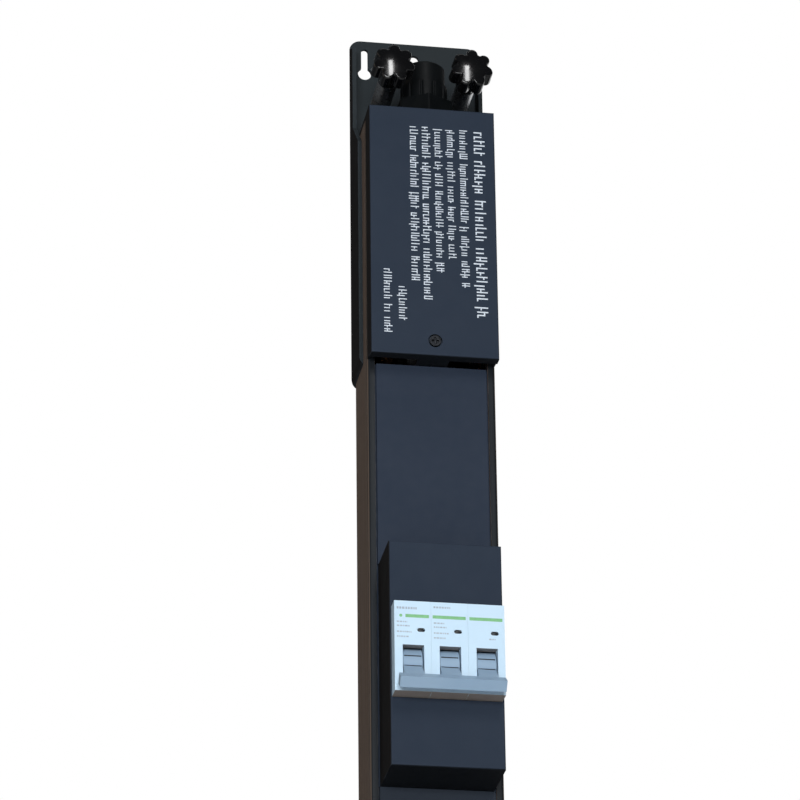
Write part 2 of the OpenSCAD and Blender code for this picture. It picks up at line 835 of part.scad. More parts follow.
module outlet(i) {
  z = outlet_z(i);
  half = outlet_pitch / 2 - joint_gap / 2;
  color(black_plastic) difference() {
    union() {
      panel_strip(z - half, z + half);
      translate([0, 0, z]) upright(cup_back, panel_y + 1)
        rounded(mouth_w + 2 * cup_wall, mouth_h + 2 * cup_wall, 4);
      translate([0, 0, z]) upright(panel_y + 1, panel_y - 1)
        rounded(mouth_w + 6, mouth_h + 6, 5);
    }
    difference() {
      translate([0, 0, z]) upright(well_back, panel_y - 2) rounded(mouth_w, mouth_h, 3);
      translate([0, 0, z]) upright(well_back + eps, core_front) rounded(core_w, core_h, 2.4);
    }
    for (k = [0:2]) {
      p = slot_at(k);
      slab(blade_w, cup_back + eps, core_front - eps, z + p.y - blade_gap / 2,
        z + p.y + blade_gap / 2, p.x);
    }
  }
}

// Neutral, line and earth contacts of one bank, each with its link to a bar
module outlet_contacts(bank) {
  first = (bank - 1) * bank_size + 1;
  bar_face = side_bar_x - bar_w / 2;
  line_x = (bank - 2) * line_bar_x;
  line_y = tail_y + 2.7;
  line_low = min(line_x, slot_x) - blade_w / 2;
  line_high = max(line_x, slot_x) + blade_w / 2;
  reach = [[-bar_face, -slot_x + 4, tail_y, 1], [line_low, line_high, line_y, 1],
    [-4, bar_face, tail_y, 1]];
  color(brass) for (i = [first:first + bank_size - 1], k = [0:2]) {
    p = slot_at(k);
    z = outlet_z(i) + p.y;
    side = reach[k];
    difference() {
      slab(blade_w - 0.4, side[2], core_front + 3, z - 1.2, z + 1.2, p.x);
      slab(blade_w + 1, tail_y - 1.6, core_front + 2, z - 0.6, z + 0.6, p.x);
    }
    slab(side[1] - side[0], side[2], side[2] - side[3], z - 1.2, z + 1.2, (side[0] + side[1]) / 2);
    if (k == 1) slab(bar_d, line_bar_y - 1, line_y - 0.5, z - 1.2, z + 1.2, line_x);
  }
}

// ---- Knobs and their screws ----

module knob_sleeves() {
  color(steel) for (s = [-1, 1]) difference() {
    bar_y(sleeve_r, -bracket_t, y_front, s * knob_x);
    bar_y(stud_d / 2 + run, 0, y_front - eps, s * knob_x);
  }
}

module star_outline() {
  lobe_r = 2.9;
  circle(knob_d / 2 - lobe_r + 0.3);
  for (i = [0:knob_lobes - 1])
    rotate(i * 360 / knob_lobes + 90) translate([knob_d / 2 - lobe_r, 0]) circle(lobe_r);
}

module star_knob(s) {
  color(black_plastic) translate([s * knob_x, 0, 0]) rotate([90, 0, 0]) difference() {
    union() {
      translate([0, 0, knob_back]) cylinder(r1 = 5.4, r2 = 6.4, h = hub_h + eps);
      translate([0, 0, knob_back + hub_h]) linear_extrude(grip_h) star_outline();
      translate([0, 0, knob_back + hub_h + grip_h]) cylinder(r1 = 7.5, r2 = 6, h = 1.4);
    }
    translate([0, 0, knob_back - eps]) cylinder(r = waist_r + 0.02, h = knob_insert + eps);
  }
}

module knob_left() star_knob(-1);

module knob_right() star_knob(1);

// The thread is behind the bracket; the waist in front of it keeps the screw captive
module knob_screw(s) {
  color(steel) {
    bar_y(stud_d / 2, stud_out, 0, s * knob_x);
    bar_y(waist_r, eps, -knob_back - knob_insert, s * knob_x);
  }
}

module screw_left() knob_screw(-1);

module screw_right() knob_screw(1);

channel();
top_bracket();
bottom_bracket();
bracket_screws();
top_end_plate();
bottom_end_cap();
end_screws();
terminal_cover();
cover_screw();
cover_standoff();
gland_body();
gland_seal();
gland_locknut();
gland_nut();
terminal_block();
terminal_clamps();
terminal_screws();
earth_hardware();
blank_panel();
breaker_housing();
din_rail();
rail_screws();
breaker_pole(1);  // breaker_pole_1
breaker_pole(2);  // breaker_pole_2
breaker_pole(3);  // breaker_pole_3
breaker_mechanism();
breaker_terminals();
toggle_pivots();
toggle_levers();
toggle_tie_bar();
supply_wires();
output_wires();
neutral_bar();
earth_bar();
line_bars();
outlet_contacts(1);  // outlet_contacts_1
outlet_contacts(2);  // outlet_contacts_2
outlet_contacts(3);  // outlet_contacts_3
knob_sleeves();
knob_left();
knob_right();
screw_left();
screw_right();
outlet(1);  // outlet_01
outlet(2);  // outlet_02
outlet(3);  // outlet_03
outlet(4);  // outlet_04
outlet(5);  // outlet_05
outlet(6);  // outlet_06
outlet(7);  // outlet_07
outlet(8);  // outlet_08
outlet(9);  // outlet_09
outlet(10);  // outlet_10
outlet(11);  // outlet_11
outlet(12);  // outlet_12
outlet(13);  // outlet_13
outlet(14);  // outlet_14
outlet(15);  // outlet_15
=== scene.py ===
"""Looks of a vertical rack power strip, built around its CAD frame. Lengths are metres."""

import json
import math
import random

import bmesh
import bpy
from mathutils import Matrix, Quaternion, Vector


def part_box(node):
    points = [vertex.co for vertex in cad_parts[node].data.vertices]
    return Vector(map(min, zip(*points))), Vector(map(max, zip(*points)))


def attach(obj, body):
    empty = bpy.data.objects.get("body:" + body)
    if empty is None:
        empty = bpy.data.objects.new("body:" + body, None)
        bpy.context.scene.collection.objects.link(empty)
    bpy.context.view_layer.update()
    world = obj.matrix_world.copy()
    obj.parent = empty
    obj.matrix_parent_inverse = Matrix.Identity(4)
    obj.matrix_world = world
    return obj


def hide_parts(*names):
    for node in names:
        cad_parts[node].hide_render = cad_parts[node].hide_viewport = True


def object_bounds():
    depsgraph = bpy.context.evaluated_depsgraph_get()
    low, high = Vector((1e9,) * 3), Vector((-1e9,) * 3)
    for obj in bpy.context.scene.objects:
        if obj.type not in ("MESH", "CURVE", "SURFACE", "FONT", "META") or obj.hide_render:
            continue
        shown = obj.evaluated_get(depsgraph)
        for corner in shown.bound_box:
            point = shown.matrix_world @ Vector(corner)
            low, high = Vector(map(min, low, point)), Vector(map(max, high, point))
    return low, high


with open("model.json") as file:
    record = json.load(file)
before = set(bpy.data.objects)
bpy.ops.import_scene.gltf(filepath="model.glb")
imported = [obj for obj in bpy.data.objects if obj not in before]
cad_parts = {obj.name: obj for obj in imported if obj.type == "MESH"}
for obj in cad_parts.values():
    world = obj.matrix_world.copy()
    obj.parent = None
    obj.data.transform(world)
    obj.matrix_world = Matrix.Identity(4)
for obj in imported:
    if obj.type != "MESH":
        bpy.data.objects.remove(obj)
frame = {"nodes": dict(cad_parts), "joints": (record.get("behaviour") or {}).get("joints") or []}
cad_low, cad_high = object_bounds()
nodes = frame["nodes"]
MM = 0.001


# ---- Places, read from the frame ----

box_low, box_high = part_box("terminal_cover")
house_low, house_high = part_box("breaker_housing")
pole_boxes = [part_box(f"breaker_pole_{n}") for n in (1, 2, 3)]
nose_front = pole_boxes[0][0].y
nose_mid = (pole_boxes[0][0].z + pole_boxes[0][1].z) / 2
nose_half = 22.5 * MM
nose_top = nose_mid + nose_half
toggle_joint = next(j for j in frame["joints"] if j["name"] == "toggle_swing")
toggle_axis = Vector(toggle_joint["pos_m"])


# ---- Materials ----

class Paint:
    """A principled material, with short ways to add procedural detail to it."""

    def __init__(self, name, color, rough, metallic=0.0, coat=0.0, coat_rough=0.1, specular=0.5):
        self.material = bpy.data.materials.new(name)
        self.material.use_nodes = True
        self.tree = self.material.node_tree
        self.shader = self.tree.nodes["Principled BSDF"]
        self.color = (*color, 1.0)
        self.shader.inputs["Base Color"].default_value = self.color
        self.shader.inputs["Roughness"].default_value = rough
        self.shader.inputs["Metallic"].default_value = metallic
        self.shader.inputs["Coat Weight"].default_value = coat
        self.shader.inputs["Coat Roughness"].default_value = coat_rough
        self.shader.inputs["Specular IOR Level"].default_value = specular
        self.height = None

    def add(self, kind, **inputs):
        node = self.tree.nodes.new(kind)
        for name, value in inputs.items():
            node.inputs[name.replace("_", " ")].default_value = value
        return node

    def link(self, source, target):
        self.tree.links.new(source, target)

    def place(self, stretch=(1, 1, 1)):
        """Object coordinates, squeezed along each axis."""
        coords = self.add("ShaderNodeTexCoord")
        scale = self.add("ShaderNodeMapping")
        scale.inputs["Scale"].default_value = stretch
        self.link(coords.outputs["Object"], scale.inputs["Vector"])
        return scale.outputs["Vector"]

    def noise(self, size, detail=3.0, stretch=(1, 1, 1)):
        """Noise whose features are about that size, from 0 to 1."""
        texture = self.add("ShaderNodeTexNoise", Scale=1 / size, Detail=detail)
        self.link(self.place(stretch), texture.inputs["Vector"])
        return texture.outputs["Fac"]

    def cells(self, size):
        """Distance to the nearest of many scattered points, for a moulded or sprayed grain."""
        texture = self.add("ShaderNodeTexVoronoi", Scale=1 / size)
        self.link(self.place(), texture.inputs["Vector"])
        return texture.outputs["Distance"]

    def ramp(self, value, low, high, to_low=0.0, to_high=1.0):
        node = self.add("ShaderNodeMapRange")
        node.clamp = True
        node.inputs["From Min"].default_value = low
        node.inputs["From Max"].default_value = high
        node.inputs["To Min"].default_value = to_low
        node.inputs["To Max"].default_value = to_high
        self.link(value, node.inputs["Value"])
        return node.outputs["Result"]

    def multiply(self, a, b):
        node = self.add("ShaderNodeMath")
        node.operation = "MULTIPLY"
        self.link(a, node.inputs[0])
        self.link(b, node.inputs[1])
        return node.outputs["Value"]

    def tint(self, mask, color):
        """Mixes another colour in where the mask is high."""
        mix = self.tree.nodes.new("ShaderNodeMix")
        mix.data_type = "RGBA"
        target = self.shader.inputs["Base Color"]
        self.link(mask, mix.inputs["Factor"])
        if target.is_linked:
            self.link(target.links[0].from_socket, mix.inputs["A"])
        else:
            mix.inputs["A"].default_value = self.color
        mix.inputs["B"].default_value = (*color, 1.0)
        self.link(mix.outputs["Result"], target)
        return self

    def vary_rough(self, value, low, high):
        self.link(self.ramp(value, 0.3, 0.7, low, high), self.shader.inputs["Roughness"])
        return self

    def bump(self, value, depth, strength=0.5):
        """Raises the surface by up to that depth where the value is high."""
        node = self.add("ShaderNodeBump", Strength=strength, Distance=depth)
        self.link(value, node.inputs["Height"])
        if self.height is not None:
            self.link(self.height, node.inputs["Normal"])
        self.height = node.outputs["Normal"]
        self.link(self.height, self.shader.inputs["Normal"])
        return self

    def edges(self, width):
        """A mask that is high along sharp edges."""
        round_normal = self.add("ShaderNodeBevel", Radius=width)
        round_normal.samples = 4
        geometry = self.add("ShaderNodeNewGeometry")
        dot = self.add("ShaderNodeVectorMath")
        dot.operation = "DOT_PRODUCT"
        self.link(round_normal.outputs["Normal"], dot.inputs[0])
        self.link(geometry.outputs["Normal"], dot.inputs[1])
        return self.ramp(dot.outputs["Value"], 0.995, 0.90)

    def facing(self, axis, low, high):
        """A mask that is high where the surface faces that way: X or -Z, in the object's frame."""
        coords = self.add("ShaderNodeTexCoord")
        split = self.add("ShaderNodeSeparateXYZ")
        self.link(coords.outputs["Normal"], split.inputs["Vector"])
        if axis == "-Z":
            return self.ramp(split.outputs["Z"], -low, -high)
        return self.ramp(self.multiply(split.outputs["X"], split.outputs["X"]), low, high)

    def wear(self, width, color, size=4 * MM):
        """Rubs the colour off along edges, in patches."""
        patches = self.ramp(self.noise(size, 4.0), 0.45, 0.62)
        return self.tint(self.multiply(self.edges(width), patches), color)


def powder_coat(name, color, light):
    """Sprayed and baked coating, with painted shade that makes faces that look sideways or down darker.
    """
    paint = Paint(name, color, 0.60, specular=0.10)
    paint.tint(paint.ramp(paint.noise(60 * MM, 2.0), 0.35, 0.75, 0.0, 0.5), light)
    # Painted shade: faces that look sideways get a darker, slightly warmer colour.
    paint.tint(paint.facing("X", 0.3, 0.8), (0.0100, 0.0092, 0.0092))
    # Painted shade: faces that look down get a darker colour.
    paint.tint(paint.facing("-Z", 0.5, 0.9), (0.0070, 0.0085, 0.0110))
    paint.vary_rough(paint.noise(9 * MM, 4.0), 0.54, 0.64)
    paint.bump(paint.cells(0.9 * MM), 0.05 * MM, 0.30)
    paint.bump(paint.noise(0.5 * MM, 2.0), 0.03 * MM, 0.25)
    paint.wear(0.4 * MM, (0.045, 0.056, 0.075))
    return paint.material


def anodised():
    """Dark anodising with fine lines along the strip; the channel's two sides are browner, a painted
    warm reflection.
    """
    paint = Paint("black_anodising", (0.0085, 0.0110, 0.0140), 0.42, metallic=0.15, specular=0.15)
    lines = paint.noise(0.7 * MM, 2.0, (1, 1, 0.012))
    paint.tint(paint.ramp(lines, 0.35, 0.7, 0.0, 0.5), (0.016, 0.019, 0.023))
    # Painted reflection: faces that look sideways get a lighter, browner colour.
    paint.tint(paint.facing("X", 0.3, 0.8), (0.150, 0.108, 0.083))
    paint.vary_rough(paint.noise(2.5 * MM, 3.0, (1, 1, 0.03)), 0.36, 0.50)
    paint.bump(lines, 0.03 * MM, 0.35)
    paint.wear(0.3 * MM, (0.10, 0.09, 0.085), 6 * MM)
    return paint.material


def moulded(name, color, light, rough, grain=0.6 * MM, coat=0.0, spread=0.35, specular=0.3,
            underside_shade=None):
    """A moulded plastic with a fine grain, slow colour drift and lightly rubbed edges.

    The last argument is painted shade: the colour of the faces that look down, which are a little
    browner.
    """
    paint = Paint(name, color, rough, coat=coat, specular=specular)
    paint.tint(paint.ramp(paint.noise(25 * MM, 3.0), 0.35, 0.7, 0.0, spread), light)
    # Painted shade: faces that look down take a darker, browner colour.
    if underside_shade:
        paint.tint(paint.facing("-Z", 0.6, 0.95), underside_shade)
    paint.vary_rough(paint.noise(5 * MM, 4.0), rough - 0.06, rough + 0.08)
    paint.bump(paint.cells(grain), 0.03 * MM, 0.3)
    paint.wear(0.3 * MM, light)
    return paint.material


def polished_black():
    paint = Paint("polished_black", (0.0026, 0.0026, 0.0030), 0.13, coat=0.25, coat_rough=0.05,
                  specular=0.35)
    paint.vary_rough(paint.noise(4 * MM, 3.0), 0.11, 0.17)
    paint.bump(paint.noise(5 * MM, 1.0), 0.02 * MM, 0.08)
    paint.wear(0.3 * MM, (0.016, 0.016, 0.018), 2 * MM)
    return paint.material


def plated():
    paint = Paint("zinc_plate", (0.52, 0.53, 0.55), 0.30, metallic=1.0)
    paint.tint(paint.ramp(paint.noise(3 * MM, 4.0), 0.4, 0.7, 0.0, 0.6), (0.40, 0.40, 0.39))
    paint.vary_rough(paint.noise(1.2 * MM, 3.0), 0.24, 0.42)
    paint.bump(paint.noise(0.4 * MM, 3.0), 0.02 * MM, 0.4)
    return paint.material


def bare_metal(name, color, dull):
    paint = Paint(name, color, 0.28, metallic=1.0)
    paint.tint(paint.ramp(paint.noise(6 * MM, 5.0), 0.42, 0.72, 0.0, 0.8), dull)
    paint.vary_rough(paint.noise(2 * MM, 3.0), 0.22, 0.45)
    paint.bump(paint.noise(0.5 * MM, 3.0, (1, 1, 0.15)), 0.02 * MM, 0.4)
    return paint.material


def rubber():
    paint = Paint("seal_rubber", (0.012, 0.012, 0.012), 0.7)
    paint.tint(paint.ramp(paint.noise(2 * MM, 4.0), 0.45, 0.7, 0.0, 0.5), (0.03, 0.03, 0.03))
    paint.vary_rough(paint.noise(1 * MM, 3.0), 0.6, 0.8)
    paint.bump(paint.noise(0.4 * MM, 3.0), 0.04 * MM, 0.5)
    return paint.material


def ink(name, color):
    """Screen-printed ink with a slightly uneven cover."""
    paint = Paint(name, color, 0.45)
    faded = tuple(0.78 * c for c in color)
    paint.tint(paint.ramp(paint.noise(1.5 * MM, 4.0), 0.45, 0.75, 0.0, 0.7), faded)
    paint.vary_rough(paint.noise(0.8 * MM, 2.0), 0.38, 0.55)
    paint.bump(paint.noise(0.3 * MM, 2.0), 0.01 * MM, 0.3)
    return paint.material


def insulation(name, color):
    paint = Paint(name, color, 0.38)
    paint.tint(paint.ramp(paint.noise(8 * MM, 3.0), 0.4, 0.7, 0.0, 0.4), tuple(0.7 * c for c in color))
    paint.vary_rough(paint.noise(2 * MM, 3.0), 0.30, 0.48)
    paint.bump(paint.noise(0.8 * MM, 2.0), 0.03 * MM, 0.3)
    return paint.material


POWDER = powder_coat("powder_coat", (0.0200, 0.0295, 0.0480), (0.026, 0.036, 0.055))
BRACKET = powder_coat("bracket_coat", (0.0205, 0.0262, 0.0300), (0.026, 0.032, 0.036))
ANODISED = anodised()
PANEL = moulded("panel_plastic", (0.0205, 0.0300, 0.0500), (0.027, 0.037, 0.058), 0.58, specular=0.12)
SOCKET = moulded("socket_plastic", (0.0165, 0.0230, 0.0350), (0.025, 0.032, 0.045), 0.54,
                 0.8 * MM, specular=0.15)
NYLON = moulded("gland_nylon", (0.0022, 0.0030, 0.0036), (0.0050, 0.0062, 0.0070), 0.46,
                specular=0.12)
KNOB = polished_black()
# The case's faces that look down get painted shade, darker and browner.
CASE = moulded("breaker_case", (0.53, 0.70, 0.85), (0.58, 0.74, 0.87), 0.38, 1.2 * MM, coat=0.1,
               underside_shade=(0.300, 0.262, 0.240))
TOGGLE = moulded("toggle_plastic", (0.25, 0.36, 0.49), (0.31, 0.42, 0.54), 0.38, 1.2 * MM, coat=0.08)
BLOCK = moulded("block_plastic", (0.42, 0.44, 0.45), (0.50, 0.52, 0.53), 0.40)
# Dark plastic for the small windows; on the lever ribs the same colour is painted shade.
WINDOW_AND_SHADE_DARK = moulded("window_dark_and_painted_shade", (0.010, 0.012, 0.016), (0.016, 0.018, 0.022), 0.30)
ZINC = plated()
BLACK_ZINC = bare_metal("black_zinc", (0.014, 0.015, 0.017), (0.007, 0.007, 0.008))
BRASS = bare_metal("brass", (0.68, 0.49, 0.20), (0.45, 0.31, 0.13))
COPPER = bare_metal("copper", (0.72, 0.36, 0.22), (0.42, 0.20, 0.13))
RUBBER = rubber()
WHITE_INK = ink("white_ink", (0.60, 0.66, 0.74))
GREEN_INK = ink("green_ink", (0.18, 0.46, 0.20))
GREY_INK = ink("grey_ink", (0.36, 0.42, 0.50))


# ---- Mesh helpers ----

def new_piece(name, mesh, material, body):
    piece = bpy.data.objects.new(name, mesh)
    bpy.context.scene.collection.objects.link(piece)
    mesh.materials.clear()
    mesh.materials.append(material)
    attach(piece, body)
    return piece


def mesh_from(bm, name, sharp=38):
    """A mesh with smooth faces that stays sharp at edges over that many degrees."""
    bmesh.ops.recalc_face_normals(bm, faces=bm.faces)
    for face in bm.faces:
        face.smooth = True
    for edge in bm.edges:
        edge.smooth = len(edge.link_faces) == 2 and edge.calc_face_angle(0) < math.radians(sharp)
    mesh = bpy.data.meshes.new(name)
    bm.to_mesh(mesh)
    bm.free()
    return mesh


def clean_copy(node):
    """The node's mesh, welded and with its flat faces whole."""
    bm = bmesh.new()
    bm.from_mesh(nodes[node].data)
    bmesh.ops.remove_doubles(bm, verts=bm.verts, dist=0.002 * MM)
    bmesh.ops.dissolve_degenerate(bm, edges=bm.edges, dist=0.002 * MM)
    bmesh.ops.dissolve_limit(bm, angle_limit=math.radians(0.4), use_dissolve_boundaries=False,
                             verts=bm.verts, edges=bm.edges, delimit=set())
    return bm


def round_edges(bm, width, test=None, segments=2, angle=32):
    """Bevels the sharp edges that are long enough to take it and pass the test."""
    chosen = []
    for edge in bm.edges:
        if len(edge.link_faces) != 2 or edge.calc_face_angle(0) < math.radians(angle):
            continue
        if edge.calc_length() < 2.2 * width:
            continue
        if test and not test(edge):
            continue
        chosen.append(edge)
    bmesh.ops.bevel(bm, geom=chosen, offset=width, offset_type="OFFSET", segments=segments,
                    profile=0.5, affect="EDGES", clamp_overlap=True)


def finished(node, material, body, width=0.3 * MM, big=None, name=None):
    """Stands for a CAD node with the same shape and rounded edges. big is (width, test)."""
    bm = clean_copy(node)
    if big:
        round_edges(bm, big[0], big[1], segments=4)
    if width:
        round_edges(bm, width)
    mesh = mesh_from(bm, name or f"{node}_shape")
    piece = new_piece(name or f"{node}_finish", mesh, material, body)
    weighted = piece.modifiers.new("even_shading", "WEIGHTED_NORMAL")
    weighted.keep_sharp = True
    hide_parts(node)
    return piece


def painted(node, material):
    """A CAD node that stays as it is, with its material."""
    mesh = nodes[node].data
    mesh.materials.clear()
    mesh.materials.append(material)


def add_block(bm, low, high):
    """A closed box between two corners."""
    corners = [Vector((x, y, z)) for x in (low[0], high[0]) for y in (low[1], high[1])
               for z in (low[2], high[2])]
    v = [bm.verts.new(c) for c in corners]
    for face in ((0, 1, 3, 2), (4, 6, 7, 5), (0, 4, 5, 1), (2, 3, 7, 6), (0, 2, 6, 4), (1, 5, 7, 3)):
        bm.faces.new([v[i] for i in face])


def add_rings(bm, rings, close=True):
    """Joins rings of points into a skin, and caps both ends."""
    rows = [[bm.verts.new(p) for p in ring] for ring in rings]
    count = len(rows[0])
    for lower, upper in zip(rows, rows[1:]):
        for k in range(count):
            n = (k + 1) % count
            bm.faces.new((lower[k], lower[n], upper[n], upper[k]))
    if close:
        bm.faces.new(list(reversed(rows[0])))
        bm.faces.new(rows[-1])


def oval_points(x, z, half_w, half_h, y, count=28):
    """Points of an upright oval at one depth."""
    ring = []
    for k in range(count):
        a = 2 * math.pi * k / count
        ring.append(Vector((x + half_w * math.cos(a), y, z + half_h * math.sin(a))))
    return ring


# ---- Shell of the strip ----

NEAR = 0.05 * MM


def front_rim(edge, low, high, side):
    """True for an edge on the front face of a shell, at that distance sideways or at an end."""
    middle = (edge.verts[0].co + edge.verts[1].co) / 2
    at_side = abs(middle.x) > side
    at_end = middle.z < low.z + NEAR or middle.z > high.z - NEAR
    return middle.y < low.y + NEAR and (at_side or at_end)


def outer_cover_edge(edge):
    return front_rim(edge, box_low, box_high, box_high.x - NEAR)


def outer_house_edge(edge):
    """Leaves out the edges of the window that the breaker shows through."""
    return front_rim(edge, house_low, house_high, pole_boxes[2][1].x + 0.5 * MM)


def make_shell():
    finished("channel", ANODISED, "strip", 0.25 * MM)
    finished("top_bracket", BRACKET, "strip", 0.3 * MM)
    finished("bottom_bracket", BRACKET, "strip", 0.35 * MM)
    finished("terminal_cover", POWDER, "strip", 0.22 * MM,
             (0.9 * MM, outer_cover_edge))
    finished("top_end_plate", POWDER, "strip", 0.25 * MM)
    finished("breaker_housing", POWDER, "strip", 0.22 * MM,
             (0.8 * MM, outer_house_edge))
    finished("blank_panel", PANEL, "strip", 0.3 * MM)
    finished("bottom_end_cap", PANEL, "strip", 0.4 * MM)
    for n in range(1, 16):
        finished(f"outlet_{n:02d}", SOCKET, "strip", 0.3 * MM)


# ---- Text marks on the cover ----

# Each column reads downwards: its feet and heads across the cover, its top and its end
COLUMNS = [
    (21.2, 26.8, -33.0, -137.4),
    (13.9, 17.9, -32.5, -120.6),
    (7.5, 11.4, -32.9, -106.2),
    (1.2, 5.1, -32.8, -112.7),
    (-5.3, -1.0, -31.9, -129.4),
    (-11.4, -7.2, -32.1, -120.2),
    (-18.0, -13.9, -122.3, -140.4),
    (-25.4, -21.3, -113.0, -148.6),
]


def make_marks():
    """Rows of plain strokes where the cover carries print. They spell nothing."""
    dice = random.Random(7)
    bm = bmesh.new()
    back = box_low.y + 0.02 * MM
    front = box_low.y - 0.04 * MM
    for feet, heads, top, bottom in COLUMNS:
        cap = heads - feet
        stroke = 0.125 * cap
        gap = 0.19 * cap
        z = top
        left = dice.randint(3, 8)
        while z - stroke > bottom:
            if left == 0:
                z -= 0.45 * cap
                left = dice.randint(2, 8)
                continue
            tall = 1.0 if dice.random() < 0.38 else 0.72
            drop = 0.22 if dice.random() < 0.08 else 0.0
            add_block(bm, ((feet - drop * cap) * MM, front, (z - stroke) * MM),
                      ((feet + tall * cap) * MM, back, z * MM))
            if dice.random() < 0.5:
                at = feet + dice.choice((0.0, 0.31, 0.60)) * cap
                add_block(bm, (at * MM, front, (z - stroke - gap) * MM),
                          ((at + 0.12 * cap) * MM, back, (z - stroke) * MM))
            z -= stroke + gap
            if dice.random() < 0.5:
                z -= 0.12 * cap
                left -= 1
    mesh = mesh_from(bm, "cover_print")
    new_piece("cover_print", mesh, WHITE_INK, "strip")


# ---- Star knobs and their screws ----

LOBES = 7

# The knob's hub, from its foot to its grip: how far out and how wide, in mm
HUB_PROFILE = [(0.0, 3.2), (0.0, 5.0), (0.35, 5.35), (2.425, 5.65), (4.85, 5.9), (7.275, 6.15),
               (8.6, 6.5), (9.4, 7.0), (9.7, 7.4)]


def star_radius(angle, outer, lobe=2.9 * MM, core=8.35 * MM, soft=0.7 * MM):
    """Distance from the axis to the star's outline: seven round lobes on a round core."""
    step = 2 * math.pi / LOBES
    off = (angle - math.pi / 2 + step / 2) % step - step / 2
    reach = outer - lobe
    inside = lobe * lobe - (reach * math.sin(off)) ** 2
    tip = reach * math.cos(off) + math.sqrt(inside) if inside > 0 else 0.0
    top = max(tip, core)
    blend = max(0.0, 1 - abs(tip - core) / soft)
    return top + soft * blend * blend / 4


def make_knob(node, body):
    """A star knob: tapered hub, lobed grip with rounded rims, and a shallow domed face."""
    low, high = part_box(node)
    cx = (low.x + high.x) / 2
    outer = 10.95 * MM
    hub = HUB_PROFILE[-1][0] * MM
    grip = 10.0 * MM
    dome = 1.35 * MM
    rim = 1.1 * MM
    draft = 0.25 * MM
    count = LOBES * 28
    rows = []

    def ring(depth_of, radius_of):
        points = []
        for k in range(count):
            a = 2 * math.pi * k / count
            r = radius_of(a)
            points.append(Vector((cx + r * math.cos(a), high.y - depth_of(r), r * math.sin(a))))
        rows.append(points)

    def flat_ring(depth, radius_of):
        ring(lambda r: depth, radius_of)

    def face_rise(r):
        return dome * (1 - (r / outer) ** 2)

    for depth, radius in HUB_PROFILE:
        flat_ring(depth * MM, lambda a, r=radius: r * MM)
    for step in range(1, 6):
        turn = step / 5 * math.pi / 2
        inset = rim * (1 - math.sin(turn))
        flat_ring(hub + rim * (1 - math.cos(turn)), lambda a, i=inset: star_radius(a, outer) - i)
    for t in (0.35, 0.65):
        flat_ring(hub + grip * t, lambda a, t=t: star_radius(a, outer) - draft * t)
    for step in range(0, 8):
        turn = step / 7 * math.pi / 2
        inset = draft + rim * (1 - math.cos(turn))
        base = hub + grip - rim + rim * math.sin(turn)
        ring(lambda r, b=base, s=math.sin(turn): b + s * face_rise(r),
             lambda a, i=inset: star_radius(a, outer) - i)
    for t in (0.06, 0.14, 0.24, 0.36, 0.50, 0.65, 0.80, 0.93):
        ring(lambda r: hub + grip + face_rise(r),
             lambda a, t=t: (star_radius(a, outer) - draft - rim) * (1 - t))
    bm = bmesh.new()
    add_rings(bm, rows)
    mesh = mesh_from(bm, f"{node}_shape", sharp=60)
    piece = new_piece(f"star_{node}", mesh, KNOB, body)
    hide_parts(node)


def make_screw(node, body):
    """A fixing screw: a plain waist through the strip, a rolled thread behind it and a dog point."""
    low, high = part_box(node)
    cx = (low.x + high.x) / 2
    crest = (high.x - low.x) / 2 - 0.02 * MM
    depth = 0.52 * MM
    waist = 2.68 * MM
    pitch = 1.0 * MM
    steps_per_turn = 9
    runout = 0.6 * MM
    lead_in = 1.2 * MM
    count = 36
    rows = []

    def ring(y, radius_of):
        points = []
        for k in range(count):
            a = 2 * math.pi * k / count
            r = radius_of(k / count)
            points.append(Vector((cx + r * math.cos(a), y, r * math.sin(a))))
        rows.append(points)

    ring(low.y, lambda turn: waist)
    ring(-0.4 * MM, lambda turn: waist)
    steps = int((high.y - 1.0 * MM) / pitch * steps_per_turn)
    for step in range(steps + 1):
        y = step * pitch / steps_per_turn
        taper = max(0.0, 1 - y / runout, (y - high.y + 1.0 * MM + lead_in) / lead_in)

        def radius(turn, y=y, taper=taper):
            flank = abs(2 * ((y / pitch + turn) % 1.0) - 1)
            cut = max(0.0, flank * 1.3 - 0.12)
            return crest - depth * min(1.0, max(cut, taper))

        ring(y, radius)
    ring(high.y - 0.3 * MM, lambda turn: 2.2 * MM)
    ring(high.y, lambda turn: 1.9 * MM)
    bm = bmesh.new()
    add_rings(bm, rows)
    piece = new_piece(f"threaded_{node}", mesh_from(bm, f"{node}_shape", 50), ZINC, body)
    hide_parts(node)


def make_fixings():
    make_knob("knob_left", "left_knob")
    make_knob("knob_right", "right_knob")
    make_screw("screw_left", "left_knob")
    make_screw("screw_right", "right_knob")
    finished("knob_sleeves", ZINC, "strip", 0.3 * MM)
    for node in ("bracket_screws", "end_screws", "cover_screw"):
        finished(node, BLACK_ZINC, "strip", 0.12 * MM)
    finished("cover_standoff", ZINC, "strip", 0.12 * MM)


def make_gland():
    finished("gland_body", NYLON, "strip", 0.4 * MM)
    finished("gland_locknut", NYLON, "strip", 0.4 * MM)
    finished("gland_nut", NYLON, "gland_ring", 0.35 * MM)
    finished("gland_seal", RUBBER, "strip", 0.4 * MM)


# ---- Breaker ----

def make_breaker():
    for n in (1, 2, 3):
        finished(f"breaker_pole_{n}", CASE, "strip", 0.32 * MM)
    make_levers()
    finished("toggle_tie_bar", TOGGLE, "toggle", 0.7 * MM)
    finished("toggle_pivots", ZINC, "strip", 0.15 * MM)
    make_breaker_print()


